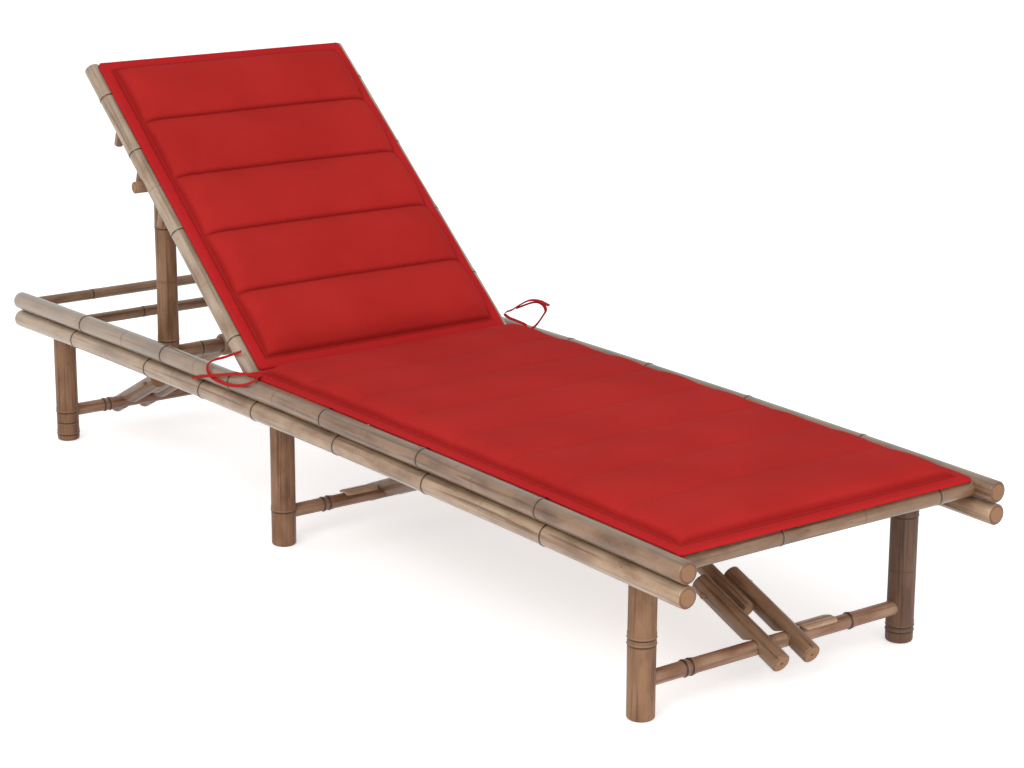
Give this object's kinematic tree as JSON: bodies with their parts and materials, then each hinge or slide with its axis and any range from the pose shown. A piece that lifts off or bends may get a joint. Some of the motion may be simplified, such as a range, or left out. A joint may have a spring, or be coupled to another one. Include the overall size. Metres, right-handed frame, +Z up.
{
  "type": "sun lounger",
  "caption": "Folding bamboo sun lounger: stacked pole rails, propped reclining back, braced folding legs and a channelled canvas cushion.",
  "frame": {"origin": "on the ground under the middle of the frame", "axes": "+Y from the foot end to the head end, +Z up, +X to the right seen from the foot end"},
  "size_m": [0.66, 2, 0.7698],
  "materials": {
    "pale_bamboo": "weathered bamboo, dull",
    "grey_bamboo": "weathered bamboo, grey",
    "brown_bamboo": "aged bamboo, brown",
    "dark_dowel": "plain turned dowel",
    "red_canvas": "woven cotton canvas"
  },
  "bodies": {
    "base": {"upper_rail_left": "pale_bamboo", "upper_rail_right": "pale_bamboo", "lower_rail_left": "pale_bamboo", "lower_rail_right": "pale_bamboo", "foot_bar": "grey_bamboo", "head_bar_inner": "grey_bamboo", "head_bar_outer": "grey_bamboo", "brace_bar_foot": "brown_bamboo", "brace_bar_middle": "brown_bamboo", "prop_bar": "brown_bamboo", "seat_slat_deck": "grey_bamboo", "hinge_pin_left": "dark_dowel", "hinge_pin_right": "dark_dowel", "seat_cushion": "red_canvas", "tie_left_tail": "red_canvas", "tie_left_loop": "red_canvas", "tie_right_tail": "red_canvas", "tie_right_loop": "red_canvas"},
    "back": {"back_pole_left": "grey_bamboo", "back_pole_right": "grey_bamboo", "back_slat_deck": "grey_bamboo", "hook_peg_low_left": "brown_bamboo", "hook_peg_low_right": "brown_bamboo", "hook_peg_middle_left": "brown_bamboo", "hook_peg_middle_right": "brown_bamboo", "hook_peg_high_left": "brown_bamboo", "hook_peg_high_right": "brown_bamboo", "prop_rod": "brown_bamboo", "back_cushion": "red_canvas"},
    "prop": {"prop_post_left": "brown_bamboo", "prop_post_right": "brown_bamboo"},
    "foot_legs": {"foot_leg_left": "brown_bamboo", "foot_leg_right": "brown_bamboo", "foot_stretcher": "brown_bamboo", "foot_clip": "grey_bamboo"},
    "foot_brace": {"foot_brace_pole": "brown_bamboo", "foot_fork_left": "brown_bamboo", "foot_fork_right": "brown_bamboo", "foot_fork_peg": "dark_dowel"},
    "middle_legs": {"middle_leg_left": "brown_bamboo", "middle_leg_right": "brown_bamboo", "middle_stretcher": "brown_bamboo", "middle_clip": "grey_bamboo"},
    "middle_brace": {"middle_brace_pole": "brown_bamboo", "middle_fork_left": "brown_bamboo", "middle_fork_right": "brown_bamboo", "middle_fork_peg": "dark_dowel"},
    "head_legs": {"head_leg_left": "brown_bamboo", "head_leg_right": "brown_bamboo", "head_stretcher": "brown_bamboo"},
    "head_brace": {"head_brace_pole": "brown_bamboo", "head_fork_left": "brown_bamboo", "head_fork_right": "brown_bamboo", "head_fork_peg": "dark_dowel"}
  },
  "joints": [
    {"name": "back_hinge", "type": "hinge", "parent": "base", "child": "back", "pos_m": [0, 0.1808, 0.28122], "axis": [1, 0, 0], "range_deg": [-33, 15]},
    {"name": "prop_pivot", "type": "hinge", "parent": "base", "child": "prop", "pos_m": [0, 0.555, 0.24256], "axis": [1, 0, 0], "range_deg": [-72, 33]},
    {"name": "foot_leg_fold", "type": "hinge", "parent": "base", "child": "foot_legs", "pos_m": [0, -0.854, 0.23771], "axis": [1, 0, 0], "range_deg": [0, 75]},
    {"name": "foot_brace_swing", "type": "hinge", "parent": "base", "child": "foot_brace", "pos_m": [0, -0.4, 0.24426], "axis": [1, 0, 0], "range_deg": [-19, 0]},
    {"name": "middle_leg_fold", "type": "hinge", "parent": "base", "child": "middle_legs", "pos_m": [0, 0.107, 0.24597], "axis": [-1, 0, 0], "range_deg": [0, 75]},
    {"name": "middle_brace_swing", "type": "hinge", "parent": "base", "child": "middle_brace", "pos_m": [0, -0.34, 0.24477], "axis": [-1, 0, 0], "range_deg": [-19.4, 0]},
    {"name": "head_leg_fold", "type": "hinge", "parent": "base", "child": "head_legs", "pos_m": [0, 0.908, 0.23662], "axis": [-1, 0, 0], "range_deg": [0, 75]},
    {"name": "head_brace_swing", "type": "hinge", "parent": "base", "child": "head_brace", "pos_m": [0, 0.555, 0.24256], "axis": [-1, 0, 0], "range_deg": [-24.3, 0]}
  ],
  "couplings": [
    {"joint": "prop_pivot", "follows": "back_hinge", "ratio": 2.18},
    {"joint": "foot_brace_swing", "follows": "foot_leg_fold", "ratio": -0.2526},
    {"joint": "middle_brace_swing", "follows": "middle_leg_fold", "ratio": -0.2575},
    {"joint": "head_brace_swing", "follows": "head_leg_fold", "ratio": -0.3221}
  ]
}
